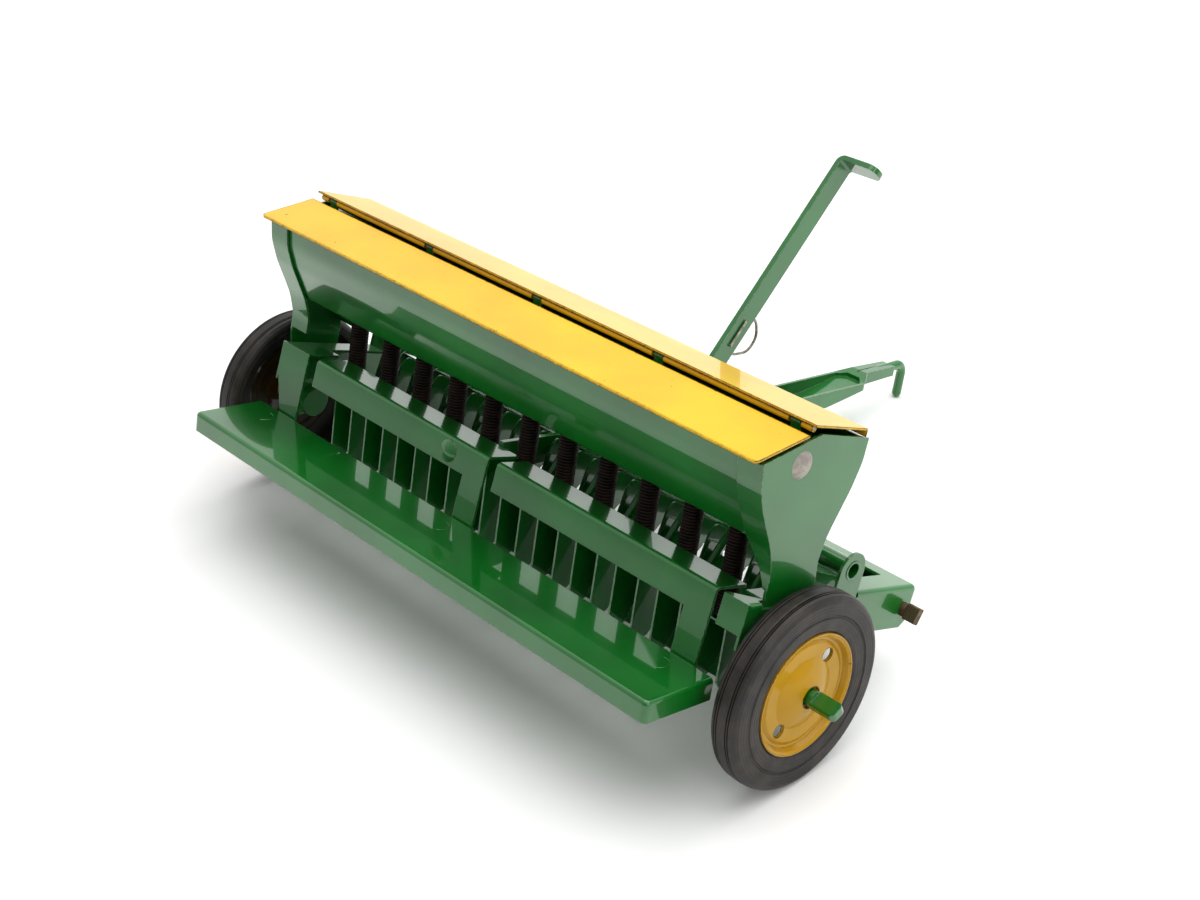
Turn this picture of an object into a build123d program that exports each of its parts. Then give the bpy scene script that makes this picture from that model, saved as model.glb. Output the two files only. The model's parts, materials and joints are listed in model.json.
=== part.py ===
"""Toy grain drill: a pressed-steel seed box on two rubber-tyred wheels.

Everything is laid out level first: X to the machine's right, Y forwards to the
hitch, Z up, with the middle of the axle at (0, 0, 0).  At the end the whole
machine is tipped forwards about the axle until the tip of the hitch hook
touches the floor, which is how it stands when it is not hitched, and it is
moved so that the origin is under the middle of its footprint.
"""
import os
from math import acos, atan2, cos, degrees, hypot, radians, sin

from build123d import *

# ---------------------------------------------------------------- dimensions
# wheels and axle
TYRE_RADIUS = 26.8
TYRE_WIDTH = 8.6
WHEEL_CENTRE_X = 106.9        # middle of a tyre
RIM_RADIUS = 16.8             # visible edge of the yellow disc
DISC_GAUGE = 0.9              # pressed wheel disc
DISC_WELL = 1.2               # flat ring below the disc's edge
DOME_RADIUS = 9.7
DOME_HEIGHT = 2.9
HUB_HOLE_RADIUS = 3.0
HUB_TUBE_RADIUS = 4.2
RIM_SEAT = 16.4               # radius the tyre grips
TYRE_HOLLOW_X = 1.4           # the tyre is hollow from here to its inner side
TYRE_HOLLOW_RADIUS = 22.4
TREAD_GROOVES = (1.9, 2.6)    # from each side face
DISC_HOLE_RADIUS = 1.9
DISC_HOLE_CIRCLE = 11.2
DISC_HOLE_TURNS = (52, 232)   # degrees
AXLE_RADIUS = 2.35
AXLE_END_X = 121.0
AXLE_COLLAR_RADIUS = 4.6
AXLE_COLLAR_WIDTH = 3.0
WASHER_RADIUS = 3.8
AXLE_CRIMP = 2.4              # half width of the flattened axle end
AXLE_CRIMP_GAUGE = 1.2        # half its thickness
AXLE_CRIMP_TURN = 32         # degrees
RUNNING_FIT = 0.05            # radial clearance of a turning fit
SIDE_PLAY = 0.4               # end play of anything that turns beside a face

# sheet steel
SHEET = 0.8
LID_SHEET = 0.6

# seed box
BOX_HALF_LENGTH = 99.6        # outer face of an end plate
BOX_TOP_HALF = 19.4           # half width of the box under the lids
BOX_WAIST_HALF = 9.0          # half width at the waist
BOX_FOOT_HALF = 6.6           # half width of the foot that holds the axle
BOX_EAVES_Z = 60.9            # where the sloping top edge starts
BOX_SHOULDER_Z = 54.6         # end of the upright stretch
BOX_WAIST_Z = 33.0
BOX_PEAK_Z = 65.0
BOX_FOOT_Z = -4.6             # lowest edge, below the axle
BOX_FLOOR_Z = 36.6            # underside of the seed box
FLANGE_WIDTH = 8.0            # turned-in edge of an end plate
FLANGE_END_Z = 25.7
FLANGE_TAPER_Z = 38.0         # where the right-hand edges start to taper
TROUGH_FLOOR_HALF = 9.6
TROUGH_GAP = 0.12             # between the trough and the turned-in edges
FRAME_RIVET = (0.0, 15.6)     # (y, z) of the rivets through the frame's sides
FRAME_RIVET_SHANK = 1.5
FRAME_RIVET_HEAD = 2.8
FRAME_SPACER_RADIUS = 3.0
RIVET_HEAD_RADIUS = 3.6
RIVET_SHANK_RADIUS = 1.6
RIVET_DOME = 0.36             # height of a head over its radius
RIVET_TAIL = 0.7              # thickness of the upset end
BOX_RIVET = (-5.1, 58.1)
TROUGH_BENDS = [13.0, 17.0, 2.5]
TROUGH_CORNER = 7.5           # rounded lower corners of the trough's rear wall

# lids
LID_HALF_LENGTH = 100.0
REAR_LID_HINGE = (-4.7, 64.35)
REAR_LID_SLOPE = 10.7         # degrees down from the hinge
REAR_LID_REACH = 18.1         # hinge to edge
REAR_LID_OVERHANG = 0.3       # sheet that runs on past the hinge
FRONT_LID_HINGE = (-1.6, 66.4)
FRONT_LID_SLOPE = 11.9
FRONT_LID_REACH = 20.4
FRONT_LID_OVERHANG = 1.5
HINGE_STANDOFF = 0.8          # hinge wire to the underside of the lid
CURL_RADIUS = 0.95            # rolled tabs under a lid, round its hinge wire
KNUCKLE_RADIUS = 0.75
HINGE_WIRE_RADIUS = 0.45
KNUCKLE_WIDTH = 3.0
KNUCKLE_COUNT = 5
KNUCKLE_SPAN = 186.0          # first knuckle to last knuckle
KNUCKLE_GAP = 0.35
RIDGE_REAR_Y = -7.0
RIDGE_FRONT_Y = 2.2
RIDGE_TOP_Z = 63.2
LID_CORNER = 1.2
FRONT_LID_LIP = 1.7
FRONT_LID_BEND = 1.6
REAR_LID_LIP = 0.2
REAR_LID_BEND = 0.3

# tray frame, tilted down towards the front
TRAY_SLOPE = 9.34             # degrees
TRAY_REAR_Y = -15.94          # top rear bend
TRAY_REAR_Z = 23.92
TRAY_LEFT = -93.35
TRAY_RIGHT = BOX_HALF_LENGTH + SHEET   # lies outside the right end plate
TRAY_LENGTH = 71.35
TRAY_DEPTH = 12.0
TRAY_FLANGE = 8.0
BEND_RADIUS = 1.4             # outside radius of a bend

# rear rails and their legs
RAIL_HEIGHT = 8.43
RAIL_SHELF = 11.4             # depth of the flat on top
LEG_LEFT_END = -80.0          # right edge of the left corner's leg
RAIL_ONE = (-75.6, 3.8)
RAIL_TWO = (7.6, 89.8)
RIGHT_CORNER = 92.2
NOTCH_Z = BOX_FOOT_HALF + 16
LEG_WIDTH = 8.3
RAIL_RIVET_X = -12.0
RAIL_RIVET_RADIUS = 3.3
RAIL_RIVET_SHANK = 1.4
RAIL_RETURN = 3.0             # turned-in left end of a rail
FRONT_FLANGE = 6.4
FOOT_REACH = 10.0             # how far a leg's foot reaches under the board

# footboard
BOARD_HALF_LENGTH = 97.35
BOARD_REAR_Y = -43.26
BOARD_FRONT_Y = -20.31
BOARD_TOP_Z = 3.61
BOARD_LIP = 5.9
BOARD_CORNER = 1.6
BOARD_BEND = 1.2

# openers and seed tubes
OPENER_COUNT = 11
OPENER_PITCH = 15.7
OPENER_WIDTH = 10.2            # over the arm; the boot nests inside it
OPENER_ROD_Y = 49.4
OPENER_ROD_Z = 6.6
OPENER_ROD_RADIUS = 1.9
OPENER_ROD_OVERHANG = 5.4     # crimped end beyond the frame
ROD_CRIMP = 2.3
ROD_CRIMP_GAUGE = 1.1
OPENER_EYE_RADIUS = 2.75
OPENER_SHEET = 0.6
OPENER_REAR_Y = -5.2
OPENER_TIP_Z = -11.0
OPENER_FLOOR_Z = 8.8          # shelf that carries the seed tube
OPENER_SHELF_FRONT = 2.6
OPENER_WEB_REAR = 20.8        # the arm is open behind this for the lift finger
TUBE_RADIUS = 2.8
TUBE_BORE = 2.1
TUBE_Y = -1.6

# lift
SHAFT_Y = 23.3
SHAFT_Z = 24.0
SHAFT_RADIUS = 2.65
SHAFT_BORE = 2.05
EAR_RADIUS = 4.8
LEVER_X = 27.0
LEVER_THICKNESS = 1.6
LEVER_WIDTH = 6.5
LEVER_LENGTH = 103.0          # shaft centre to the bend at the handle
LEVER_LEAN = 36.9             # degrees forward of upright
LEVER_EYE_RADIUS = 4.6
HANDLE_LENGTH = 13.4
HANDLE_BEND = 2.4             # outside radius
HANDLE_TIP = 2.9
CLIP_WIRE_RADIUS = 0.4
CLIP_LOW = 40.0               # holes for the wire clip, along the lever
CLIP_HIGH = 48.0
CLIP_REACH = 11.0             # how far the clip bulges in front
FINGER_RADIUS = 1.1           # lift fingers on the rock shaft
FINGER_ELBOW = (14.8, 22.9)
FINGER_TIP = (8.2, 13.8)
COLLAR_RADIUS = 3.5
COLLAR_WIDTH = 4.4

# tongue and hitch
TONGUE_WIDTH = 12.7
TONGUE_SHEET = 1.0
TONGUE_REAR_Y = 41.0
TONGUE_NECK_Y = 145.0
TONGUE_NOSE_Y = 149.5
TONGUE_END_Y = 166.0
TONGUE_TOP_REAR_Z = 20.2
TONGUE_TOP_FRONT_Z = 21.6
NOSE_HALF_WIDTH = 3.2
NOSE_RISE = 1.9               # the folded nose stands above the channel's edges
NOSE_CENTRE_Z = 22.0
HOOK_RADIUS = 1.6
HOOK_Y = 173.2
HOOK_BEND = 3.4
HOOK_TIP_Z = 12.0             # centre of the rounded tip
BRACE_X = -4.55
BRACE_THICKNESS = 1.6
BRACE_FRONT_Y = 46.5

# ------------------------------------------------------------- derived places
TYRE_OUTER = WHEEL_CENTRE_X + TYRE_WIDTH / 2
HUB_INNER = WHEEL_CENTRE_X - TYRE_WIDTH / 2 + 0.6
DISC_EDGE = TYRE_WIDTH / 2 - 0.5       # outer face of the disc's edge, from the wheel's middle
HUB_OUTER = WHEEL_CENTRE_X + DISC_EDGE - DISC_WELL + DOME_HEIGHT
BOARD_UNDER = BOARD_TOP_Z - SHEET
TRAY_MIDDLE = (TRAY_LEFT + TRAY_RIGHT) / 2
PLATE_INNER = BOX_HALF_LENGTH - SHEET
WIRE_HALF_LENGTH = PLATE_INNER - SIDE_PLAY
FLANGE_INNER = BOX_HALF_LENGTH - FLANGE_WIDTH
OPENER_CENTRES = [TRAY_MIDDLE + OPENER_PITCH * (i - OPENER_COUNT // 2) for i in range(OPENER_COUNT)]

hook_reach = hypot(HOOK_Y, HOOK_TIP_Z)
REST_PITCH = degrees(acos((HOOK_RADIUS - TYRE_RADIUS) / hook_reach) - atan2(HOOK_Y, HOOK_TIP_Z))

parts = {}


def box(x0, x1, y0, y1, z0, z1):
    """A block between two corners."""
    return Pos((x0 + x1) / 2, (y0 + y1) / 2, (z0 + z1) / 2) * Box(x1 - x0, y1 - y0, z1 - z0)


def rod_x(radius, x0, x1, y, z):
    """A round bar along X."""
    return Pos((x0 + x1) / 2, y, z) * Rot(0, 90, 0) * Cylinder(radius, x1 - x0)


def rod_between(start, end, radius):
    """A round bar with ball ends between two points."""
    a, b = Vector(*start), Vector(*end)
    bar = Plane(origin=(a + b) / 2, z_dir=b - a) * Cylinder(radius, (b - a).length)
    return bar + Pos(a) * Sphere(radius) + Pos(b) * Sphere(radius)


def section(points, x0, x1, radii=0.0):
    """A (y, z) outline with rounded corners, extruded between two X faces."""
    wire = FilletPolyline(*[(x0, y, z) for y, z in points], radius=radii, close=True)
    return extrude(make_face(wire), amount=x1 - x0, dir=(1, 0, 0))


def left_offset(path, distance):
    """A polyline moved to its left by a distance, with mitred corners."""
    moved = []
    for i, (y, z) in enumerate(path):
        before = path[max(i - 1, 0)]
        after = path[min(i + 1, len(path) - 1)]
        first = (y - before[0], z - before[1]) if i else (after[0] - y, after[1] - z)
        last = (after[0] - y, after[1] - z) if i < len(path) - 1 else first
        n1 = (-first[1] / hypot(*first), first[0] / hypot(*first))
        n2 = (-last[1] / hypot(*last), last[0] / hypot(*last))
        scale = distance / (1 + n1[0] * n2[0] + n1[1] * n2[1])
        moved.append((y + scale * (n1[0] + n2[0]), z + scale * (n1[1] + n2[1])))
    return moved


def bent_sheet(path, gauge, x0, x1, bends):
    """Sheet metal along X: a path with its thickness on the left and rounded bends.

    The path is the outside of the bends, and every bend turns left."""
    inner = left_offset(path, gauge)
    inner_bends = [bend - gauge for bend in reversed(bends)]
    return section(path + inner[::-1], x0, x1, [0] + bends + [0, 0] + inner_bends + [0])


def on_tray(shape):
    """Place something modelled in the tray's own flat frame."""
    return Pos(0, TRAY_REAR_Y, TRAY_REAR_Z) * Rot(-TRAY_SLOPE, 0, 0) * shape


def tray_point(along, up):
    """A place in the tray's frame as level (y, z)."""
    a = radians(TRAY_SLOPE)
    return TRAY_REAR_Y + along * cos(a) + up * sin(a), TRAY_REAR_Z - along * sin(a) + up * cos(a)


def to_tray(y, z):
    """Level (y, z) as the tray's own (along, up)."""
    a = radians(TRAY_SLOPE)
    dy, dz = y - TRAY_REAR_Y, z - TRAY_REAR_Z
    return dy * cos(a) - dz * sin(a), dy * sin(a) + dz * cos(a)


def both_sides(name, shape):
    """Keep a right-hand piece and its mirror image."""
    parts[name + "_right"] = shape
    parts[name + "_left"] = mirror(shape, Plane.YZ)


def rivet_dome(radius):
    """A low domed head standing on the XY plane."""
    height = radius * RIVET_DOME
    ball = (radius ** 2 + height ** 2) / (2 * height)
    dome = Pos(0, 0, height - ball) * Sphere(ball)
    return dome & Pos(0, 0, height / 2) * Cylinder(2 * radius, height)


def rivet_x(face, tail, y, z, head, shank):
    """A domed rivet along X: its head stands on one face, its tail on the other."""
    outward = 1 if face > tail else -1
    body = rod_x(shank, min(face, tail), max(face, tail), y, z)
    upset_x = tail - outward * RIVET_TAIL / 2
    upset = rod_x(head * 0.75, upset_x - RIVET_TAIL / 2, upset_x + RIVET_TAIL / 2, y, z)
    return body + Pos(face, y, z) * Rot(0, 90 * outward, 0) * rivet_dome(head) + upset


# ------------------------------------------------------------------- wheels
def ring_about_x(points):
    """Turn an (x, radius) outline about X."""
    return revolve(make_face(Polyline(*[(x, r, 0) for x, r in points], close=True)), Axis.X, 360)


def wheel_tyre():
    """Moulded rubber shell, open on its inner side, with a raised line and fine tread grooves."""
    half = TYRE_WIDTH / 2
    crown = TYRE_RADIUS
    shoulder = [(half - 0.1, crown - 1.9), (half - 0.5, crown - 1.0), (half - 1.2, crown - 0.4)]
    for groove in TREAD_GROOVES:
        shoulder += [(half - groove, crown - 0.15), (half - groove - 0.08, crown - 0.45)]
        shoulder += [(half - groove - 0.28, crown - 0.45), (half - groove - 0.36, crown - 0.1)]
    shoulder += [(half - 3.4, crown)]
    outer_wall = [(TYRE_HOLLOW_X, RIM_SEAT), (half - 0.9, RIM_SEAT), (half - 0.25, RIM_SEAT + 1.4)]
    outer_wall += [(half, crown - 6.1), (half - 0.3, crown - 5.8)]
    outer_wall += [(half - 0.3, crown - 5.4), (half, crown - 5.1)]
    inner_wall = [(-half, TYRE_HOLLOW_RADIUS + 1.0), (0.6 - half, TYRE_HOLLOW_RADIUS + 0.3)]
    inner_wall += [(TYRE_HOLLOW_X, TYRE_HOLLOW_RADIUS)]
    ring = ring_about_x(outer_wall + shoulder + [(-x, r) for x, r in reversed(shoulder)] + inner_wall)
    return ring - rod_x(RIM_RADIUS, DISC_EDGE - DISC_GAUGE, TYRE_WIDTH, 0, 0)


def wheel_disc():
    """Pressed disc: rolled edge, groove, flat ring with two holes, a dome and a hub tube."""
    g = DISC_GAUGE
    flat = DISC_EDGE - DISC_WELL
    hub = HUB_INNER - WHEEL_CENTRE_X
    bore = AXLE_RADIUS + RUNNING_FIT
    steps = 7
    dome = [HUB_HOLE_RADIUS + (DOME_RADIUS - HUB_HOLE_RADIUS) * i / steps for i in range(steps + 1)]
    dome_top = [(flat + DOME_HEIGHT * (1 - (r / DOME_RADIUS) ** 2), r) for r in dome]
    dome_under = [(x - g, r) for x, r in reversed(dome_top) if HUB_TUBE_RADIUS < r]
    top = [(dome_top[0][0] - g, bore), (dome_top[0][0] - g, HUB_HOLE_RADIUS)] + dome_top
    top += [(flat, 13.4), (flat - 0.5, 14.3), (flat - 0.3, 15.1), (DISC_EDGE - 0.2, 15.7)]
    top += [(DISC_EDGE + 0.25, 16.3), (DISC_EDGE + 0.2, RIM_RADIUS), (DISC_EDGE - g, RIM_RADIUS)]
    top += [(DISC_EDGE - g, RIM_SEAT)]
    under = [(TYRE_HOLLOW_X, RIM_SEAT), (TYRE_HOLLOW_X - 0.3, 15.9), (flat - 0.4 - g, 13.9)]
    under += [(flat - g, 13.0)]
    under += dome_under + [(dome_under[-1][0], HUB_TUBE_RADIUS), (hub, HUB_TUBE_RADIUS), (hub, bore)]
    disc = ring_about_x(top + under)
    for turn in DISC_HOLE_TURNS:
        y, z = DISC_HOLE_CIRCLE * cos(radians(turn)), DISC_HOLE_CIRCLE * sin(radians(turn))
        disc -= rod_x(DISC_HOLE_RADIUS, -TYRE_WIDTH, TYRE_WIDTH, y, z)
    return disc


both_sides("wheel_disc", Pos(WHEEL_CENTRE_X, 0, 0) * wheel_disc())
both_sides("tyre", Pos(WHEEL_CENTRE_X, 0, 0) * wheel_tyre())

# a stub axle on each side, with a collar inside the end plate and a squeezed outer end
stub = rod_x(AXLE_RADIUS, PLATE_INNER - AXLE_COLLAR_WIDTH, AXLE_END_X, 0, 0)
stub += rod_x(AXLE_COLLAR_RADIUS, PLATE_INNER - AXLE_COLLAR_WIDTH, PLATE_INNER, 0, 0)
crimp_start = HUB_OUTER + 1.2
flat = box(crimp_start, AXLE_END_X, -AXLE_CRIMP, AXLE_CRIMP, -AXLE_CRIMP_GAUGE, AXLE_CRIMP_GAUGE)
flat = fillet(flat.edges().filter_by(Axis.X), 0.6)
tip_plan = extrude(RectangleRounded(20, 2 * AXLE_CRIMP, 1.5), amount=5, both=True)
flat &= Pos(AXLE_END_X - 10, 0, 0) * tip_plan
squeezed = rod_x(AXLE_CRIMP, crimp_start, AXLE_END_X, 0, 0)
both_sides("stub_axle", stub - squeezed + Rot(AXLE_CRIMP_TURN, 0, 0) * flat)
washer = rod_x(WASHER_RADIUS, BOX_HALF_LENGTH, HUB_INNER - SIDE_PLAY, 0, 0)
both_sides("axle_washer", washer - rod_x(AXLE_RADIUS, BOX_HALF_LENGTH - 1, TYRE_OUTER, 0, 0))

# ----------------------------------------------------------------- seed box
plate_half = [(BOX_FOOT_HALF, BOX_FOOT_Z), (BOX_FOOT_HALF + 1.0, 10.0), (BOX_WAIST_HALF + 0.4, 24.0)]
plate_half += [(BOX_WAIST_HALF - 0.2, BOX_WAIST_Z - 3), (BOX_WAIST_HALF + 1.6, BOX_FLOOR_Z)]
plate_half += [(BOX_TOP_HALF - 3, 48.0), (BOX_TOP_HALF - 0.6, BOX_SHOULDER_Z), (BOX_TOP_HALF, BOX_EAVES_Z)]
plate_radii = [3.0, 12.0, 12.0, 9.0, 20.0, 18.0, 14.0, 0.4]


def box_profile(inset, peak):
    """Symmetrical outline of the box's end, moved in by an inset."""
    half = [(y - inset, z) for y, z in plate_half]
    return half + [(0.8, peak)] + [(-y, z) for y, z in reversed(half)]


def end_plate(taper):
    """One end of the box: a waisted plate with a foot for the axle and turned-in edges."""
    radii = plate_radii + [1.2] + plate_radii[::-1]
    solid = section(box_profile(0, BOX_PEAK_Z), FLANGE_INNER, BOX_HALF_LENGTH, radii)
    solid -= section(box_profile(SHEET, BOX_PEAK_Z + 4), FLANGE_INNER - 1, PLATE_INNER, radii)
    solid -= box(FLANGE_INNER - 1, PLATE_INNER, -30, 30, BOX_FOOT_Z - 5, FLANGE_END_Z)
    solid -= box(FLANGE_INNER - 1, PLATE_INNER, -30, 30, BOX_EAVES_Z - 0.4, BOX_PEAK_Z + 5)
    if taper:
        slope = [(FLANGE_INNER - 1, FLANGE_END_Z - 1), (FLANGE_INNER - 1, FLANGE_TAPER_Z + 1),
                 (FLANGE_INNER, FLANGE_TAPER_Z), (PLATE_INNER, FLANGE_END_Z - 1)]
        wedge = make_face(Polyline(*[(x, -30, z) for x, z in slope], close=True))
        solid -= extrude(wedge, amount=60, dir=(0, 1, 0))
    solid -= rod_x(AXLE_RADIUS, FLANGE_INNER, BOX_HALF_LENGTH + 1, 0, 0)
    solid -= rod_x(RIVET_SHANK_RADIUS, FLANGE_INNER, BOX_HALF_LENGTH + 1, *BOX_RIVET)
    solid -= rod_x(FRAME_RIVET_SHANK, FLANGE_INNER, BOX_HALF_LENGTH + 1, *FRAME_RIVET)
    return solid


parts["end_plate_right"] = end_plate(True)
parts["end_plate_left"] = mirror(end_plate(False), Plane.YZ)
box_rivet = rivet_x(BOX_HALF_LENGTH, PLATE_INNER, *BOX_RIVET, RIVET_HEAD_RADIUS, RIVET_SHANK_RADIUS)
both_sides("box_rivet", box_rivet)

# the trough lies inside the turned-in edges and has one outlet over every opener
wall = [(-y + SHEET + TROUGH_GAP, z) for y, z in plate_half[5:]]
trough_left = [(y, z) for y, z in reversed(wall)] + [(-TROUGH_FLOOR_HALF, BOX_FLOOR_Z)]
trough_path = trough_left + [(-y, z) for y, z in reversed(trough_left)]
trough = bent_sheet(trough_path, SHEET, -PLATE_INNER, PLATE_INNER, TROUGH_BENDS + TROUGH_BENDS[::-1])
for x in OPENER_CENTRES:
    trough -= Pos(x, TUBE_Y, BOX_FLOOR_Z) * Cylinder(TUBE_BORE, 4)
for side in (-1, 1):
    near, far = side * (FLANGE_INNER - TROUGH_CORNER + 2), side * (PLATE_INNER + 1)
    round_z = BOX_FLOOR_Z + TROUGH_CORNER
    low_x, high_x = sorted((near, far))
    corner = box(low_x, high_x, -BOX_TOP_HALF, -TROUGH_FLOOR_HALF, BOX_FLOOR_Z - 1, round_z)
    corner -= Pos(near, -BOX_WAIST_HALF, round_z) * Rot(90, 0, 0) * Cylinder(TROUGH_CORNER, 30)
    trough -= corner
parts["seed_trough"] = trough

# --------------------------------------------------------------------- lids
ridge = box(-PLATE_INNER, PLATE_INNER, RIDGE_REAR_Y, RIDGE_FRONT_Y, RIDGE_TOP_Z - SHEET, RIDGE_TOP_Z)
knuckle_xs = [KNUCKLE_SPAN * (i / (KNUCKLE_COUNT - 1) - 0.5) for i in range(KNUCKLE_COUNT)]
for x in knuckle_xs:
    x0, x1 = x - KNUCKLE_WIDTH / 2, x + KNUCKLE_WIDTH / 2
    for y, z in (REAR_LID_HINGE, FRONT_LID_HINGE):
        ridge += box(x0, x1, y - 0.4, y + 0.4, RIDGE_TOP_Z - 0.4, z)
        ridge += rod_x(KNUCKLE_RADIUS, x0, x1, y, z)
for name, place in (("rear", REAR_LID_HINGE), ("front", FRONT_LID_HINGE)):
    wire = rod_x(HINGE_WIRE_RADIUS, -WIRE_HALF_LENGTH, WIRE_HALF_LENGTH, *place)
    parts["hinge_wire_" + name] = wire
    ridge -= wire
parts["ridge_bar"] = ridge


def lid(slope, reach, overhang, lip, bend):
    """A lid lying forwards of the ridge: a sheet with rolled tabs under it round the hinge wire."""
    under, over = HINGE_STANDOFF, HINGE_STANDOFF + LID_SHEET
    top = [(-overhang, over), (reach, over), (reach, under - lip)]
    inner = left_offset(top[::-1], LID_SHEET)
    radii = [0, bend, 0, 0, max(bend - LID_SHEET, 0), 0]
    sheet = section(top + inner, -LID_HALF_LENGTH, LID_HALF_LENGTH, radii)
    far = overhang + 3 * LID_CORNER
    plan = RectangleRounded(2 * LID_HALF_LENGTH, reach + far, LID_CORNER)
    sheet &= extrude(Pos(0, (reach - far) / 2, 0) * plan, amount=10, both=True)
    curl = rod_x(CURL_RADIUS, -WIRE_HALF_LENGTH, WIRE_HALF_LENGTH, 0, 0)
    for x in knuckle_xs:
        half = KNUCKLE_WIDTH / 2 + KNUCKLE_GAP
        curl -= box(x - half, x + half, -2, 2, -2, 2)
    sheet += curl
    sheet -= rod_x(HINGE_WIRE_RADIUS + RUNNING_FIT, -LID_HALF_LENGTH - 1, LID_HALF_LENGTH + 1, 0, 0)
    return Rot(-slope, 0, 0) * sheet


front = lid(FRONT_LID_SLOPE, FRONT_LID_REACH, FRONT_LID_OVERHANG, FRONT_LID_LIP, FRONT_LID_BEND)
rear = lid(REAR_LID_SLOPE, REAR_LID_REACH, REAR_LID_OVERHANG, REAR_LID_LIP, REAR_LID_BEND)
parts["front_lid"] = Pos(0, *FRONT_LID_HINGE) * front
parts["rear_lid"] = Pos(0, *REAR_LID_HINGE) * mirror(rear, Plane.XZ)

# --------------------------------------------------------------- tray frame
def rounded_tray(shape, radius):
    """Round a block's top edges, except the one at its rear."""
    for axis, rear in ((Axis.Y, -2), (Axis.X, 1)):
        edges = [e for e in shape.edges().filter_by(axis) if e.center().Z > -1 and e.center().Y > rear]
        shape = fillet(edges, radius)
    return shape


tray = rounded_tray(box(TRAY_LEFT, TRAY_RIGHT, 0, TRAY_LENGTH, -TRAY_DEPTH, 0), BEND_RADIUS)
hollow = box(TRAY_LEFT + SHEET, TRAY_RIGHT - SHEET, -1, TRAY_LENGTH - SHEET, -TRAY_DEPTH - 1, -SHEET)
tray -= rounded_tray(hollow, BEND_RADIUS - SHEET)
tray -= box(TRAY_LEFT + TRAY_FLANGE, TRAY_RIGHT - TRAY_FLANGE, -1, TRAY_LENGTH - FRONT_FLANGE, -5, 1)
# rear corners: the left one carries a leg, the right one is a short tab under a mitred shelf
tray += box(TRAY_LEFT + TRAY_FLANGE - 1, LEG_LEFT_END, 0, RAIL_SHELF, -SHEET, 0)
tray += box(TRAY_LEFT, LEG_LEFT_END, 0, SHEET, -RAIL_HEIGHT, 0)
tray += box(RIGHT_CORNER, TRAY_RIGHT, 0, SHEET, -RAIL_HEIGHT, 0)
mitre = [(RIGHT_CORNER - 1, 0), (TRAY_RIGHT - 2.2, TRAY_FLANGE), (RIGHT_CORNER - 1, TRAY_FLANGE)]
mitre_face = make_face(Polyline(*[(x, y, -2) for x, y in mitre], close=True))
tray -= extrude(mitre_face, amount=3, dir=(0, 0, 1))
# the end plate drops through a notch in the right-hand flange
notch_half = BOX_WAIST_HALF + 1.6
notch_rear, notch_front = (to_tray(y, NOTCH_Z)[0] for y in (-notch_half, notch_half))
tray -= box(PLATE_INNER - 0.3, TRAY_RIGHT + 1, notch_rear, notch_front, -BEND_RADIUS, 1)
# front corners are cut off at the bottom
for x0 in (TRAY_LEFT - 1, TRAY_RIGHT - 1.2):
    tray -= Pos(x0 + 1, TRAY_LENGTH, -TRAY_DEPTH) * Rot(45, 0, 0) * Box(4, 4.4, 4.4)
# ears for the rock shaft stand up where the flange is cut away
ear_along, ear_up = to_tray(SHAFT_Y, SHAFT_Z)
for x0, cut_x in ((TRAY_LEFT, TRAY_LEFT), (TRAY_RIGHT - SHEET, TRAY_RIGHT - TRAY_FLANGE - SHEET)):
    tray -= box(cut_x, cut_x + TRAY_FLANGE + SHEET, ear_along - 6, ear_along + 6, -BEND_RADIUS, 1)
    ear = box(x0, x0 + SHEET, ear_along - 4.9, ear_along + 4.9, -BEND_RADIUS - 1, ear_up)
    ear += rod_x(EAR_RADIUS, x0, x0 + SHEET, ear_along, ear_up)
    tray += ear
    tray -= rod_x(SHAFT_RADIUS + RUNNING_FIT, x0 - 1, x0 + SHEET + 1, ear_along, ear_up)
tray = on_tray(tray)
# left leg and its foot under the footboard
def leg(x0, x1, start_up):
    """A leg hanging in the plane of the rear rails, with a foot turned back under the board."""
    a = radians(TRAY_SLOPE)
    drop = (TRAY_REAR_Z - BOARD_UNDER + SHEET) / cos(a)
    knee_y, knee_z = TRAY_REAR_Y - drop * sin(a), TRAY_REAR_Z - drop * cos(a)
    toe_y = BOARD_FRONT_Y - FOOT_REACH
    top_y, top_z = tray_point(0, start_up)
    outline = [(toe_y, knee_z), (knee_y + SHEET / cos(a), knee_z)]
    outline += [(top_y + SHEET * cos(a), top_z - SHEET * sin(a)), (top_y, top_z)]
    outline += [(knee_y + SHEET * sin(a), knee_z + SHEET), (toe_y, knee_z + SHEET)]
    return section(outline, x0, x1, [0, BEND_RADIUS, 0, 0, BEND_RADIUS - SHEET, 0])


# the left leg is as wide as its corner at the top and tapers down to the others' width
corner_leg = leg(TRAY_LEFT, LEG_LEFT_END, -RAIL_HEIGHT + 2)
taper_top = tray_point(0, -RAIL_HEIGHT)[1]
taper = [(TRAY_LEFT - 1, taper_top), (TRAY_LEFT, taper_top), (LEG_LEFT_END - LEG_WIDTH, BOARD_TOP_Z)]
taper += [(LEG_LEFT_END - LEG_WIDTH, BOARD_UNDER - 5), (TRAY_LEFT - 1, BOARD_UNDER - 5)]
taper_face = make_face(Polyline(*[(x, BOARD_REAR_Y, z) for x, z in taper], close=True))
tray += corner_leg - extrude(taper_face, amount=TRAY_LENGTH, dir=(0, 1, 0))
for x0 in (TRAY_LEFT - 1, TRAY_RIGHT - SHEET - 1):
    tray -= rod_x(OPENER_ROD_RADIUS, x0, x0 + SHEET + 2, OPENER_ROD_Y, OPENER_ROD_Z)
    tray -= rod_x(FRAME_RIVET_SHANK, x0, x0 + SHEET + 2, *FRAME_RIVET)
parts["main_frame"] = tray


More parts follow.
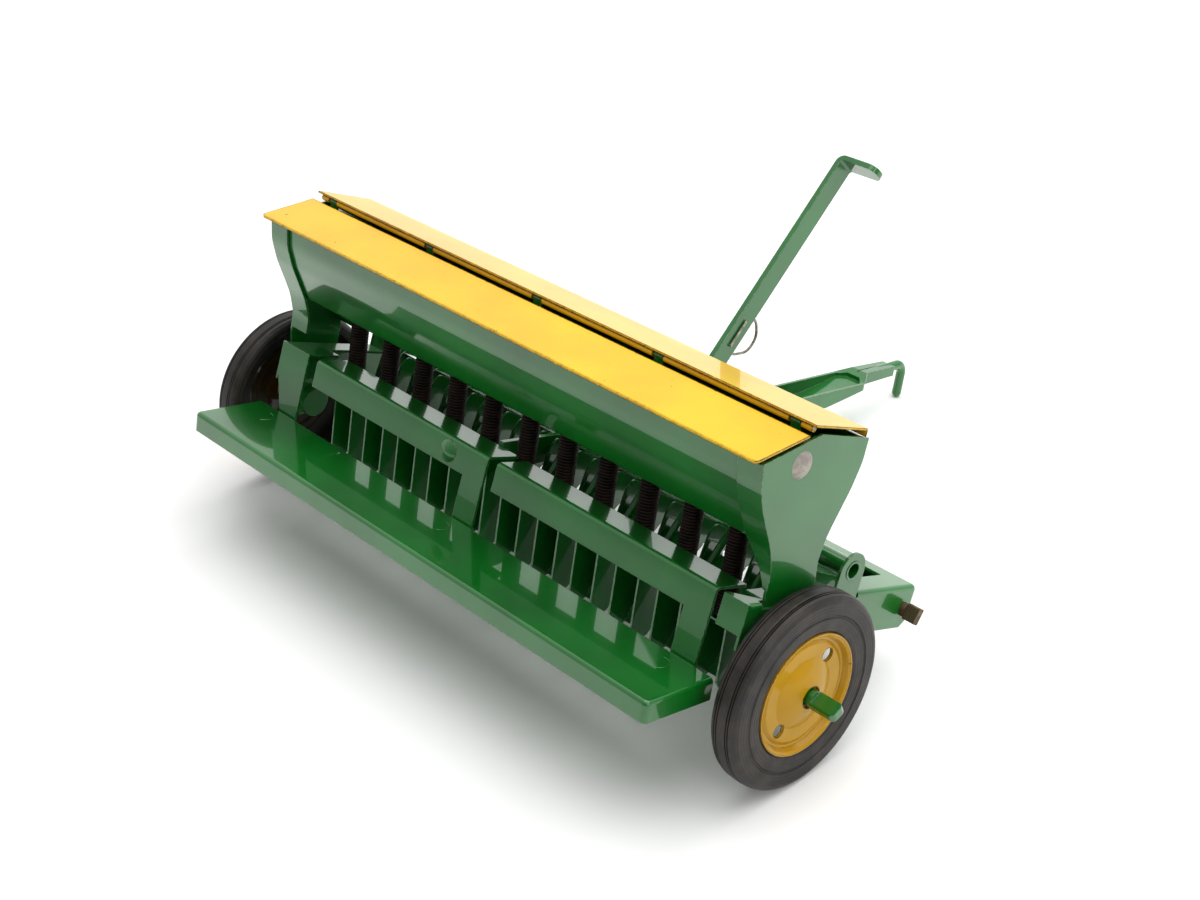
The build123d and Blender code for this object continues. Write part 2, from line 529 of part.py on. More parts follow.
def rail(x0, x1):
    """A rear rail: flat shelf, upright face, one leg at its right end and a small return at its left."""
    shelf = [(RAIL_SHELF, 0), (0, 0), (0, -RAIL_HEIGHT)]
    shelf += [(SHEET, -RAIL_HEIGHT), (SHEET, -SHEET), (RAIL_SHELF, -SHEET)]
    bar = section(shelf, x0, x1, [0, BEND_RADIUS, 0, 0, BEND_RADIUS - SHEET, 0])
    bar += box(x0, x0 + SHEET, SHEET / 2, RAIL_RETURN, -RAIL_HEIGHT + 0.6, -SHEET / 2)
    return on_tray(bar) + leg(x1 - LEG_WIDTH, x1, -RAIL_HEIGHT + 2)


rail_rivet = on_tray(Pos(0, 0, -(RAIL_HEIGHT / 2)) * Rot(90, 0, 0) * Cylinder(RAIL_RIVET_SHANK, 12))
rail_rivet = Pos(RAIL_RIVET_X, 0, 0) * rail_rivet
parts["rail_centre"] = rail(*RAIL_ONE) - rail_rivet
parts["rail_right"] = rail(*RAIL_TWO)

# footboard: a shallow tray with its lips turned down at the back and sides
lip_z = BOARD_TOP_Z - BOARD_LIP
inner_half = BOARD_HALF_LENGTH - SHEET
board = box(-BOARD_HALF_LENGTH, BOARD_HALF_LENGTH, BOARD_REAR_Y, BOARD_FRONT_Y, lip_z, BOARD_TOP_Z)
rear_corners = [e for e in board.edges().filter_by(Axis.Z) if e.center().Y < BOARD_REAR_Y + 1]
board = fillet(rear_corners, BOARD_CORNER)
top_edges = board.edges().group_by(Axis.Z)[-1].filter_by(lambda e: e.center().Y < BOARD_FRONT_Y - 0.1)
board = fillet(top_edges, BOARD_BEND)
board -= box(-inner_half, inner_half, BOARD_REAR_Y + SHEET, BOARD_FRONT_Y + 1, lip_z - 1, BOARD_UNDER)
parts["footboard"] = board

# centre brace: a bar on edge from a foot riveted behind the centre rail into the tongue
brace_x0, brace_x1 = BRACE_X - BRACE_THICKNESS / 2, BRACE_X + BRACE_THICKNESS / 2
brace_low, brace_high = -RAIL_HEIGHT + 0.4, -BEND_RADIUS - 0.4
brace_side = [tray_point(SHEET, brace_low), tray_point(SHEET, brace_high)]
brace_side += [tray_point(RAIL_SHELF + 0.5, brace_high), tray_point(RAIL_SHELF + 0.5, 1.2), (18.5, 21.8)]
brace_side += [(BRACE_FRONT_Y, 19.6), (BRACE_FRONT_Y, 16.0), (18.5, 14.2)]
brace_side += [tray_point(RAIL_SHELF, brace_low)]
brace = section(brace_side, brace_x0, brace_x1)
foot = box(RAIL_RIVET_X - 4.6, brace_x0 + 0.1, SHEET, SHEET + BRACE_THICKNESS, brace_low, brace_high)
brace += on_tray(foot)
brace -= rail_rivet
brace -= rod_x(SHAFT_RADIUS + 0.4, brace_x0 - 1, brace_x1 + 1, SHAFT_Y, SHAFT_Z)
parts["centre_brace"] = brace
tail_y = SHEET + BRACE_THICKNESS
rivet = Pos(0, 0, -tail_y / 2) * Cylinder(RAIL_RIVET_SHANK, tail_y) + rivet_dome(RAIL_RIVET_RADIUS)
rivet += Pos(0, 0, -tail_y - RIVET_TAIL / 2) * Cylinder(RAIL_RIVET_RADIUS * 0.75, RIVET_TAIL)
parts["rail_rivet"] = Pos(RAIL_RIVET_X, 0, 0) * on_tray(Pos(0, 0, -RAIL_HEIGHT / 2) * Rot(90, 0, 0) * rivet)

# rivets that hold the frame to the two end plates; the left one is also a spacer
rivet_sizes = (*FRAME_RIVET, FRAME_RIVET_HEAD, FRAME_RIVET_SHANK)
parts["frame_rivet_right"] = rivet_x(TRAY_RIGHT, PLATE_INNER, *rivet_sizes)
spacer = rivet_x(-BOX_HALF_LENGTH, TRAY_LEFT + SHEET, *rivet_sizes)
parts["frame_rivet_left"] = spacer + rod_x(FRAME_SPACER_RADIUS, -PLATE_INNER, TRAY_LEFT, *FRAME_RIVET)

# ------------------------------------------------------------------ openers
rod_left, rod_right = TRAY_LEFT - OPENER_ROD_OVERHANG, TRAY_RIGHT + OPENER_ROD_OVERHANG
opener_rod = rod_x(OPENER_ROD_RADIUS, rod_left, rod_right, OPENER_ROD_Y, OPENER_ROD_Z)
for x0, x1 in ((rod_left, TRAY_LEFT - 1.6), (TRAY_RIGHT + 1.6, rod_right)):
    crimp = box(x0, x1, -ROD_CRIMP, ROD_CRIMP, -ROD_CRIMP_GAUGE, ROD_CRIMP_GAUGE)
    crimp = fillet(crimp.edges().filter_by(Axis.X), 0.5)
    opener_rod -= rod_x(4, x0, x1, OPENER_ROD_Y, OPENER_ROD_Z)
    opener_rod += Pos(0, OPENER_ROD_Y, OPENER_ROD_Z) * Rot(65, 0, 0) * crimp
parts["opener_rod"] = opener_rod

arm_half = OPENER_WIDTH / 2
boot_half = arm_half - OPENER_SHEET
arm_side = [(9.6, 12.3), (11.8, 20.0), (14.2, 22.4), (20.6, 19.4), (47.6, 8.9), (50.2, 9.2), (52.1, 6.6)]
arm_side += [(50.2, 4.0), (46.6, 3.8), (36.0, 8.2), (19.0, 13.6)]
boot_side = [(OPENER_REAR_Y, 12.5), (OPENER_REAR_Y, -7.5), (-2.4, OPENER_TIP_Z), (1.5, OPENER_TIP_Z + 0.5),
             (7.0, -2.0), (10.5, 6.0), (18.0, 12.4), (17.4, 16.0), (11.9, 18.4), (9.9, 12.5)]


def opener():
    """One furrow opener: a drag arm on the front rod with a boot spot-welded inside its rear end."""
    g = OPENER_SHEET
    solid = section(arm_side, arm_half - g, arm_half, [0.6, 1, 1.4, 3, 2, 1, 0.9, 1, 2, 3, 3])
    solid += mirror(solid, Plane.YZ)
    web = [(46.0, arm_top(46.0)), (OPENER_WEB_REAR, arm_top(OPENER_WEB_REAR))]
    web += [(y, z - g) for y, z in reversed(web)]
    solid += section(web, -arm_half + 0.1, arm_half - 0.1)
    cheek = section(boot_side, boot_half - g, boot_half, [0.8, 1.5, 2, 2, 3, 4, 0.5, 0.8, 0.8, 0.5])
    solid += cheek + mirror(cheek, Plane.YZ)
    front = [(18.0, 12.4), (10.5, 6.0), (7.0, -2.0), (1.5, OPENER_TIP_Z + 0.5)]
    inside = [(y - 0.5, z + 0.4) for y, z in reversed(front)]
    solid += section(front + inside, -boot_half + 0.1, boot_half - 0.1)
    press_plate = [(4.0, 12.5), (17.6, 12.5), (17.0, 11.9), (4.0, 11.9)]
    solid += section(press_plate, -boot_half + 0.1, boot_half - 0.1)
    shelf_half, shelf_rear = boot_half - 0.1, OPENER_REAR_Y + 0.5
    shelf = box(-shelf_half, shelf_half, shelf_rear, OPENER_SHELF_FRONT, OPENER_FLOOR_Z - g, OPENER_FLOOR_Z)
    solid += shelf - Pos(0, TUBE_Y, OPENER_FLOOR_Z) * Cylinder(TUBE_BORE, 4)
    return solid - rod_x(OPENER_ROD_RADIUS + RUNNING_FIT, -10, 10, OPENER_ROD_Y, OPENER_ROD_Z)


def arm_top(y):
    """Height of an arm's top edge."""
    (y0, z0), (y1, z1) = arm_side[3:5]
    return z0 + (y - y0) * (z1 - z0) / (y1 - y0) - 0.05


one_opener = opener()
tube_length = BOX_FLOOR_Z - OPENER_FLOOR_Z
tube = Pos(0, TUBE_Y, OPENER_FLOOR_Z + tube_length / 2) * Cylinder(TUBE_RADIUS, tube_length)
tube -= Pos(0, TUBE_Y, BOX_FLOOR_Z / 2) * Cylinder(TUBE_BORE, 2 * BOX_FLOOR_Z)
for i, x in enumerate(OPENER_CENTRES, 1):
    parts[f"opener_{i:02d}"] = Pos(x, 0, 0) * one_opener
    parts[f"seed_tube_{i:02d}"] = Pos(x, 0, 0) * tube

# --------------------------------------------------------------------- lift
shaft_end = 0.15
shaft = rod_x(SHAFT_RADIUS, TRAY_LEFT - shaft_end, TRAY_RIGHT + shaft_end, SHAFT_Y, SHAFT_Z)
for x in OPENER_CENTRES:
    shaft += rod_x(COLLAR_RADIUS, x - COLLAR_WIDTH / 2, x + COLLAR_WIDTH / 2, SHAFT_Y, SHAFT_Z)
    shaft += rod_between((x, SHAFT_Y - SHAFT_RADIUS, SHAFT_Z), (x, *FINGER_ELBOW), FINGER_RADIUS)
    shaft += rod_between((x, *FINGER_ELBOW), (x, *FINGER_TIP), FINGER_RADIUS)
shaft -= rod_x(SHAFT_BORE, TRAY_LEFT - 1, TRAY_RIGHT + 1, SHAFT_Y, SHAFT_Z)
parts["rock_shaft"] = shaft


def on_lever(shape):
    """Place something modelled upright on the rock shaft, leaning with the lever."""
    return Pos(LEVER_X, SHAFT_Y, SHAFT_Z) * Rot(-LEVER_LEAN, 0, 0) * shape


half_t, half_w = LEVER_THICKNESS / 2, LEVER_WIDTH / 2
strip = box(-half_t, half_t, -half_w, half_w, 0, LEVER_LENGTH)
strip += rod_x(LEVER_EYE_RADIUS, -half_t, half_t, 0, 0)
strip += box(-half_t, HANDLE_LENGTH - half_t, -half_w, half_w, LEVER_LENGTH - LEVER_THICKNESS, LEVER_LENGTH)
elbow = strip.edges().filter_by(Axis.Y).sort_by_distance((-half_t, 0, LEVER_LENGTH))[0]
strip = fillet(elbow, HANDLE_BEND)
inner_point = (half_t, 0, LEVER_LENGTH - LEVER_THICKNESS)
inner_elbow = strip.edges().filter_by(Axis.Y).sort_by_distance(inner_point)[0]
strip = fillet(inner_elbow, HANDLE_BEND - LEVER_THICKNESS)
tip = [e for e in strip.edges().filter_by(Axis.Z) if e.center().X > HANDLE_LENGTH - half_t - 0.01]
strip = fillet(tip, HANDLE_TIP)
strip -= rod_x(SHAFT_RADIUS, -5, 5, 0, 0)
for z in (CLIP_LOW, CLIP_HIGH):
    strip -= rod_x(CLIP_WIRE_RADIUS, -2, 2, 0, z)
parts["lever"] = on_lever(strip)

# wire clip: a straight leg on the right face, ends through the lever, a loop bulging forwards on the left
clip_x = half_t + CLIP_WIRE_RADIUS
clip_middle = (CLIP_LOW + CLIP_HIGH) / 2
bulge = [(0, CLIP_LOW), (CLIP_REACH * 0.5, CLIP_LOW - 1.0), (CLIP_REACH, clip_middle - 1.0)]
bulge += [(CLIP_REACH, clip_middle + 4.0), (CLIP_REACH * 0.5, CLIP_HIGH + 4.4), (0, CLIP_HIGH)]
loop = FilletPolyline(*[(-clip_x, y, z) for y, z in bulge], radius=[4.5, 4.5, 4.5, 4.5])
wire_face = Plane(origin=loop @ 0, z_dir=loop % 0) * Circle(CLIP_WIRE_RADIUS)
clip = sweep(wire_face, path=loop)
for z in (CLIP_LOW, CLIP_HIGH):
    clip += rod_between((-clip_x, 0, z), (clip_x, 0, z), CLIP_WIRE_RADIUS)
clip += rod_between((clip_x, 0, CLIP_LOW), (clip_x, 0, CLIP_HIGH), CLIP_WIRE_RADIUS)
parts["lever_clip"] = on_lever(clip)

# ------------------------------------------------------------------- tongue
seat_rear = tray_point(TRAY_LENGTH - FRONT_FLANGE, 0)
seat_front = tray_point(TRAY_LENGTH, 0)
tongue_low = [(TONGUE_REAR_Y, seat_rear[1] + 1.1), seat_rear, seat_front]
tongue_low += [(127.0, 16.1), (138.0, 18.0), (146.0, 19.5), (TONGUE_END_Y, 20.2)]
nose_top = TONGUE_TOP_FRONT_Z + NOSE_RISE
tongue_high = [(TONGUE_END_Y, nose_top), (TONGUE_NOSE_Y, nose_top)]
tongue_high += [(TONGUE_NECK_Y, TONGUE_TOP_FRONT_Z), (TONGUE_REAR_Y, TONGUE_TOP_REAR_Z)]
side_radii = [0, 0, 0, 8, 8, 4, 0.8, 0.8, 2, 4, 0]
side = section(tongue_low + tongue_high, -TONGUE_WIDTH, TONGUE_WIDTH, side_radii)
hw, nose = TONGUE_WIDTH / 2, NOSE_HALF_WIDTH
right_edge = [(hw, TONGUE_REAR_Y), (hw, TONGUE_NECK_Y), (nose, TONGUE_NOSE_Y), (nose - 0.5, TONGUE_END_Y)]
plan_points = right_edge + [(-x, y) for x, y in reversed(right_edge)]
plan_radii = [0, 2.8, 2.2, 1.2, 1.2, 2.2, 2.8, 0]
plan = FilletPolyline(*[(x, y, 0) for x, y in plan_points], radius=plan_radii, close=True)
tongue = side & extrude(make_face(plan), amount=40)
hollow_low = left_offset(tongue_low, TONGUE_SHEET)
hollow_outline = [(TONGUE_REAR_Y - 5, hollow_low[0][1])] + hollow_low[:5]
hollow_outline += [(147.0, 21.0), (147.0, 40.0), (TONGUE_REAR_Y - 5, 40.0)]
hollow_side = section(hollow_outline, -TONGUE_WIDTH, TONGUE_WIDTH)
wall_x = hw - TONGUE_SHEET
hollow_edge = [(wall_x, TONGUE_REAR_Y - 9), (wall_x, TONGUE_NECK_Y - 1), (nose - 0.6, TONGUE_NOSE_Y - 3)]
hollow_points = hollow_edge + [(-x, y) for x, y in reversed(hollow_edge)]
hollow_plan = make_face(Polyline(*[(x, y, 0) for x, y in hollow_points], close=True))
tongue -= hollow_side & extrude(hollow_plan, amount=60)
fold = box(-0.25, 0.25, TONGUE_NOSE_Y - 4, TONGUE_END_Y + 1, nose_top - 0.5, nose_top + 1)
tongue -= fold

# hitch hook: a round bar gripped in the folded nose, bent down to a rounded tip
hook_points = [(0, TONGUE_NOSE_Y + 3, NOSE_CENTRE_Z - 0.3), (0, TONGUE_END_Y + 3, NOSE_CENTRE_Z + 0.4)]
hook_points += [(0, HOOK_Y, NOSE_CENTRE_Z + 0.8), (0, HOOK_Y, HOOK_TIP_Z)]
hook_path = FilletPolyline(*hook_points, radius=[1.5, HOOK_BEND])
hook_profile = Plane(origin=hook_path @ 0, z_dir=hook_path % 0) * Circle(HOOK_RADIUS)
hook = sweep(hook_profile, path=hook_path) + Pos(0, HOOK_Y, HOOK_TIP_Z) * Sphere(HOOK_RADIUS)
parts["hitch_hook"] = hook
parts["tongue"] = tongue - hook

# ------------------------------------------------------------ rest position
rested = {name: Rot(-REST_PITCH, 0, 0) * shape for name, shape in parts.items()}
boxes = [shape.bounding_box() for shape in rested.values()]
middle_y = (min(b.min.Y for b in boxes) + max(b.max.Y for b in boxes)) / 2
lowest_z = min(b.min.Z for b in boxes)
os.makedirs("parts", exist_ok=True)
for name, shape in rested.items():
    export_step(Pos(0, -middle_y, -lowest_z) * shape, f"parts/{name}.step")
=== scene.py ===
"""A pressed-steel toy grain drill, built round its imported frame."""
import json
import math

import bpy
from mathutils import Matrix, Vector


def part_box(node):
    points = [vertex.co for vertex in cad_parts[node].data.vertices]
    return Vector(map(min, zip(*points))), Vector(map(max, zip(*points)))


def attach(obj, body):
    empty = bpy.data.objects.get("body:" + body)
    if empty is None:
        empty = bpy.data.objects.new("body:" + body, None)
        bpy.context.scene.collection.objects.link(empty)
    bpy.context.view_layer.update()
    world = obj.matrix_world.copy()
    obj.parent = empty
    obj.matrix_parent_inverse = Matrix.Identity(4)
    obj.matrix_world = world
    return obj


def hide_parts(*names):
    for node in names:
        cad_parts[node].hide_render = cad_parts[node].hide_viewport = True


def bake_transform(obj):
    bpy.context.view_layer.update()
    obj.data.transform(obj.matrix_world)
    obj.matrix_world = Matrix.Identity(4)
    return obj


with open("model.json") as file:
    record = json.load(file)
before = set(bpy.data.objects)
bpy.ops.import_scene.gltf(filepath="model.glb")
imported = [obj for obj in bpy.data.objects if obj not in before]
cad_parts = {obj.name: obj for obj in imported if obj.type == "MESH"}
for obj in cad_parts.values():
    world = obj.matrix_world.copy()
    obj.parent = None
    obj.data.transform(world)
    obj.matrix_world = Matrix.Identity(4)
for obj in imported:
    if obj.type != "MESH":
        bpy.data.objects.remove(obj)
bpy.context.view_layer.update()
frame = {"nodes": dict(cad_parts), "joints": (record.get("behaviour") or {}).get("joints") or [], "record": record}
nodes = frame["nodes"]

# How the toy stands. It is drawn level, with the middle of the axle at nought, and tipped forwards until
# the hook's tip is on the floor. The hitch pin's axis gives the tip, and the wheel joint gives the axle.
MM = 0.001
hitch_pin = next(mount for mount in frame["record"]["mounts"] if mount["name"] == "hitch_pin")
pitch = math.atan2(-hitch_pin["axis"][1], -hitch_pin["axis"][2])
wheel_joint = next(joint for joint in frame["joints"] if joint["name"] == "right_wheel_spin")
axle_y, axle_z = wheel_joint["pos_m"][1:]
rest = Matrix.Translation((0, axle_y, axle_z)) @ Matrix.Rotation(-pitch, 4, "X") @ Matrix.Scale(MM, 4)


def at(x, y, z):
    """A place on the level toy, in millimetres, as a point in the frame."""
    return rest @ Vector((x, y, z))


# The camera stands behind the toy's right-hand end and looks down over the footboard. Its bearing and tilt
# are counted from the level toy, so it is tipped with it and a little roll is left.
CAMERA_PLACE = (344.2, -333.3, 218.6)
CAMERA_BEARING = math.radians(43.37)
CAMERA_DIP = math.radians(22.01)
CAMERA_ROLL = math.radians(8.65)
CAMERA_LENS = 55.74
CAMERA_NEAREST = 10.0           # nothing closer than this is drawn
turn = Matrix.Rotation(CAMERA_BEARING, 3, "Z") @ Matrix.Rotation(math.pi / 2 - CAMERA_DIP, 3, "X")
turn = turn @ Matrix.Rotation(CAMERA_ROLL, 3, "Z")
camera = bpy.data.objects.new("camera", bpy.data.cameras.new("camera"))
bpy.context.scene.collection.objects.link(camera)
camera.data.lens = CAMERA_LENS
camera.data.clip_start = CAMERA_NEAREST * MM
aim = (Matrix.Rotation(-pitch, 3, "X") @ turn).to_4x4()
camera.matrix_world = Matrix.Translation(at(*CAMERA_PLACE)) @ aim
bpy.context.scene.camera = camera


def fill(owner, node, settings=None, links=None):
    """Set a node's sockets or options by name or number, and link others to sockets of earlier nodes."""
    for name, value in (settings or {}).items():
        if isinstance(name, int) or name in node.inputs:
            node.inputs[name].default_value = value
        else:
            setattr(node, name, value)
    for name, source in (links or {}).items():
        owner.node_tree.links.new(source, node.inputs[name])
    return node


def shade(owner, kind, settings=None, links=None):
    """Add a node to a material or a world, and fill it in."""
    return fill(owner, owner.node_tree.nodes.new(kind), settings, links)


def blank_material(name):
    """A new material, its surface node, and each point's own place on the piece."""
    material = bpy.data.materials.new(name)
    material.use_nodes = True
    place = shade(material, "ShaderNodeTexCoord").outputs["Object"]
    return material, material.node_tree.nodes["Principled BSDF"], place


def noise(material, place, grain_mm, detail, **settings):
    """A noise pattern whose features are about grain_mm across."""
    settings = {"Scale": 1 / (grain_mm * MM), "Detail": detail} | settings
    return shade(material, "ShaderNodeTexNoise", settings, {"Vector": place})


def colour(code):
    """An sRGB hex colour as linear red, green, blue and alpha."""
    values = [int(code[i:i + 2], 16) / 255 for i in (1, 3, 5)]
    linear = [v / 12.92 if v <= 0.04045 else ((v + 0.055) / 1.055) ** 2.4 for v in values]
    return (*linear, 1.0)


# The studio: a white sweep in a bright room. The room is brightest overhead and behind the toy, so gloss
# paint mirrors a pale far wall, while the faces towards the camera keep their own colour.
BRIGHT_SIDE = (-0.45, 0.55, 0.7)
ROOM_DIM, ROOM_BRIGHT = 0.24, 0.9
ROOM_DIM_FACING, ROOM_BRIGHT_FACING = -0.5, 0.8     # how far a direction lies towards the bright side
SWEEP_LEVEL = 0.95
bpy.context.scene.view_settings.view_transform = "Standard"
bpy.context.scene.view_settings.look = "Medium High Contrast"
world = bpy.data.worlds.new("white_room")
bpy.context.scene.world = world
world.use_nodes = True
background = world.node_tree.nodes["Background"]
direction = shade(world, "ShaderNodeTexCoord")
facing = shade(world, "ShaderNodeVectorMath", {"operation": "DOT_PRODUCT", 1: BRIGHT_SIDE},
               {0: direction.outputs["Generated"]})
level = shade(world, "ShaderNodeMapRange",
              {"From Min": ROOM_DIM_FACING, "From Max": ROOM_BRIGHT_FACING,
               "To Min": ROOM_DIM, "To Max": ROOM_BRIGHT},
              {"Value": facing.outputs["Value"]})
# the sweep carries on up behind the toy, so whatever is seen past the floor is the same near-white
seen = shade(world, "ShaderNodeLightPath")
strength = shade(world, "ShaderNodeMix", {"data_type": "FLOAT", "B": SWEEP_LEVEL},
                 {"Factor": seen.outputs["Is Camera Ray"], "A": level.outputs["Result"]})
fill(world, background, {"Color": colour("#FFFFFF")}, {"Strength": strength.outputs["Result"]})

# each panel's name, place, width in metres and power in watts
PANELS = (("key_panel", (0.15, 0.2, 1.0), 1.3, 7.6), ("side_panel", (0.9, -0.2, 0.5), 0.5, 1.6))
for name, place, size, power in PANELS:
    light = bpy.data.lights.new(name, "AREA")
    light.size = size
    light.energy = power
    lamp = bpy.data.objects.new(name, light)
    lamp.location = place
    lamp.rotation_euler = Vector(place).to_track_quat("Z", "Y").to_euler()
    bpy.context.scene.collection.objects.link(lamp)

FLOOR_WIDTH = 6
bpy.ops.object.select_all(action="DESELECT")
bpy.ops.mesh.primitive_plane_add(size=FLOOR_WIDTH)
floor = bpy.context.active_object
floor.name = "floor"
paper = bpy.data.materials.new("paper_sweep")
paper.use_nodes = True
fill(paper, paper.node_tree.nodes["Principled BSDF"],
     {"Base Color": colour("#F4F4F3"), "Roughness": 0.95, "Specular IOR Level": 0.1})
floor.data.materials.append(paper)


# Gloss enamel, dipped and stoved on pressed steel. It lies in a slightly uneven skin and goes thin on
# every cut edge and corner, where it has rubbed and chipped. The green wears to a pale grey-green, and
# the yellows show dark steel.
PEEL_MM, PEEL_DEPTH_MM, PEEL_STRENGTH = 2.2, 0.06, 0.10
CHIP_MM, CHIP_DEPTH_MM, CHIP_STRENGTH = 1.6, 0.08, 0.5
MOTTLE_MM = 26.0
MOTTLE_RANGE = (0.35, 0.7)
EDGE_FLAT, EDGE_TURNED = 0.99, 0.86     # cosine between the sheet and its rounded edge
EDGE_WEAR = 0.36
CHIP_STARTS, CHIP_BARE = 0.84, 0.87
CHIP_ROUGHNESS = 0.6
ENAMEL_IOR = 1.5
LACQUER_IOR, LACQUER_ROUGHNESS = 1.55, 0.04


def enamel(name, base, deep, chip, edge_mm, chip_amount, gloss, lacquer):
    """A stoved enamel: its colour, its deeper tone and what shows in the chips, then how far wear reaches
    in from an edge, how much is chipped, how rough the skin is and how strong the glossy top coat is."""
    material, surface, place = blank_material(name)
    mottle = noise(material, place, MOTTLE_MM, 3.0)
    tone = shade(material, "ShaderNodeMapRange", {"From Min": MOTTLE_RANGE[0], "From Max": MOTTLE_RANGE[1]},
                 {"Value": mottle.outputs["Fac"]})
    skin = shade(material, "ShaderNodeMixRGB", {"Color1": colour(base), "Color2": colour(deep)},
                 {"Fac": tone.outputs["Result"]})
    # the cut edges, found where a rounded corner would turn away from the flat sheet
    rounded = shade(material, "ShaderNodeBevel", {"samples": 6, "Radius": edge_mm * MM})
    flat = shade(material, "ShaderNodeNewGeometry")
    turned = shade(material, "ShaderNodeVectorMath", {"operation": "DOT_PRODUCT"},
                   {0: rounded.outputs["Normal"], 1: flat.outputs["Normal"]})
    edge = shade(material, "ShaderNodeMapRange",
                 {"From Min": EDGE_FLAT, "From Max": EDGE_TURNED, "To Min": 0.0, "To Max": EDGE_WEAR},
                 {"Value": turned.outputs["Value"]})
    grit = noise(material, place, CHIP_MM, 5.0, Roughness=0.62)
    broken = shade(material, "ShaderNodeMath", {"operation": "ADD"},
                   {0: edge.outputs["Result"], 1: grit.outputs["Fac"]})
    worn = shade(material, "ShaderNodeMapRange",
                 {"From Min": CHIP_STARTS - chip_amount, "From Max": CHIP_BARE - chip_amount},
                 {"Value": broken.outputs["Value"]})
    tint = shade(material, "ShaderNodeMixRGB", {"Color2": colour(chip)},
                 {"Fac": worn.outputs["Result"], "Color1": skin.outputs["Color"]})
    dull = shade(material, "ShaderNodeMapRange", {"To Min": gloss, "To Max": CHIP_ROUGHNESS},
                 {"Value": worn.outputs["Result"]})
    peel = noise(material, place, PEEL_MM, 1.0)
    skin_bump = shade(material, "ShaderNodeBump", {"Strength": PEEL_STRENGTH, "Distance": PEEL_DEPTH_MM * MM},
                      {"Height": peel.outputs["Fac"], "Normal": rounded.outputs["Normal"]})
    chip_bump = shade(material, "ShaderNodeBump",
                      {"Strength": CHIP_STRENGTH, "Distance": CHIP_DEPTH_MM * MM, "invert": True},
                      {"Height": worn.outputs["Result"], "Normal": skin_bump.outputs["Normal"]})
    fill(material, surface,
         {"IOR": ENAMEL_IOR, "Coat Weight": lacquer, "Specular IOR Level": lacquer / 2,
          "Coat Roughness": LACQUER_ROUGHNESS, "Coat IOR": LACQUER_IOR},
         {"Base Color": tint.outputs["Color"], "Roughness": dull.outputs["Result"],
          "Normal": chip_bump.outputs["Normal"]})
    return material


green_enamel = enamel("green_enamel", base="#0D6E23", deep="#0A5B1C", chip="#7E8E76",
                      edge_mm=0.5, chip_amount=0.0, gloss=0.3, lacquer=1.0)
lid_yellow = enamel("lid_yellow_enamel", base="#E6B900", deep="#D9A900", chip="#35270F",
                    edge_mm=0.8, chip_amount=0.145, gloss=0.34, lacquer=0.5)
wheel_yellow = enamel("wheel_yellow_enamel", base="#B98E06", deep="#A07A04", chip="#463417",
                      edge_mm=0.5, chip_amount=0.12, gloss=0.4, lacquer=0.4)

# The inner side of each wheel disc is painted dark brown as painted shade, for the shadow it sits in
# inside the tyre and beside the end plate. It is the side where the surface turns towards the toy's middle,
# which is where its place and its normal along the axle have opposite signs.
# where the painted shade on the disc's inner side reaches its darkest
PAINTED_SHADE_FULL = -0.03              # metres: the disc's place along the axle times its normal
disc_place = shade(wheel_yellow, "ShaderNodeTexCoord")
place_x = shade(wheel_yellow, "ShaderNodeSeparateXYZ", links={"Vector": disc_place.outputs["Object"]})
normal_x = shade(wheel_yellow, "ShaderNodeSeparateXYZ", links={"Vector": disc_place.outputs["Normal"]})
inward = shade(wheel_yellow, "ShaderNodeMath", {"operation": "MULTIPLY"},
               {0: place_x.outputs["X"], 1: normal_x.outputs["X"]})
back = shade(wheel_yellow, "ShaderNodeMapRange", {"From Min": 0.0, "From Max": PAINTED_SHADE_FULL},
             {"Value": inward.outputs["Value"]})
paint_socket = wheel_yellow.node_tree.nodes["Principled BSDF"].inputs["Base Color"]
# the dark brown mixed into the disc's paint here is painted shade, not dirt
painted_shade = shade(wheel_yellow, "ShaderNodeMixRGB", {"Color2": colour("#2B2010")},
              {"Fac": back.outputs["Result"], "Color1": paint_socket.links[0].from_socket})
wheel_yellow.node_tree.links.new(painted_shade.outputs["Color"], paint_socket)


# The tyres are moulded rubber, gone grey-brown and dusty. The mould left fine turned lines round the
# sidewalls, and dust and scuffs lie over them in patches.
LINE_MM, LINE_DEPTH_MM, LINE_STRENGTH = 0.9, 0.12, 0.18
DUST_MM, DUST_DEPTH_MM, DUST_STRENGTH = 7, 0.15, 0.25
DUST_RANGE = (0.38, 0.72)
tyre_rubber, rubber_surface, place = blank_material("moulded_rubber")
# a mapping scales before it moves, so the axle is still at nought across the wheel
centred = shade(tyre_rubber, "ShaderNodeMapping", {"Location": (0, -axle_y, -axle_z), "Scale": (0, 1, 1)},
                {"Vector": place})
spoke = shade(tyre_rubber, "ShaderNodeVectorMath", {"operation": "LENGTH"}, {0: centred.outputs["Vector"]})
beat = shade(tyre_rubber, "ShaderNodeMath", {"operation": "MULTIPLY", 1: 2 * math.pi / (LINE_MM * MM)},
             {0: spoke.outputs["Value"]})
lines = shade(tyre_rubber, "ShaderNodeMath", {"operation": "SINE"}, {0: beat.outputs["Value"]})
dust = noise(tyre_rubber, place, DUST_MM, 6.0, Roughness=0.65)
dusty = shade(tyre_rubber, "ShaderNodeMapRange", {"From Min": DUST_RANGE[0], "From Max": DUST_RANGE[1]},
              {"Value": dust.outputs["Fac"]})
rubber_tint = shade(tyre_rubber, "ShaderNodeMixRGB",
                    {"Color1": colour("#1F1C1A"), "Color2": colour("#3B342F")},
                    {"Fac": dusty.outputs["Result"]})
rubber_bump = shade(tyre_rubber, "ShaderNodeBump",
                    {"Strength": LINE_STRENGTH, "Distance": LINE_DEPTH_MM * MM},
                    {"Height": lines.outputs["Value"]})
scuff = shade(tyre_rubber, "ShaderNodeBump", {"Strength": DUST_STRENGTH, "Distance": DUST_DEPTH_MM * MM},
              {"Height": dust.outputs["Fac"], "Normal": rubber_bump.outputs["Normal"]})
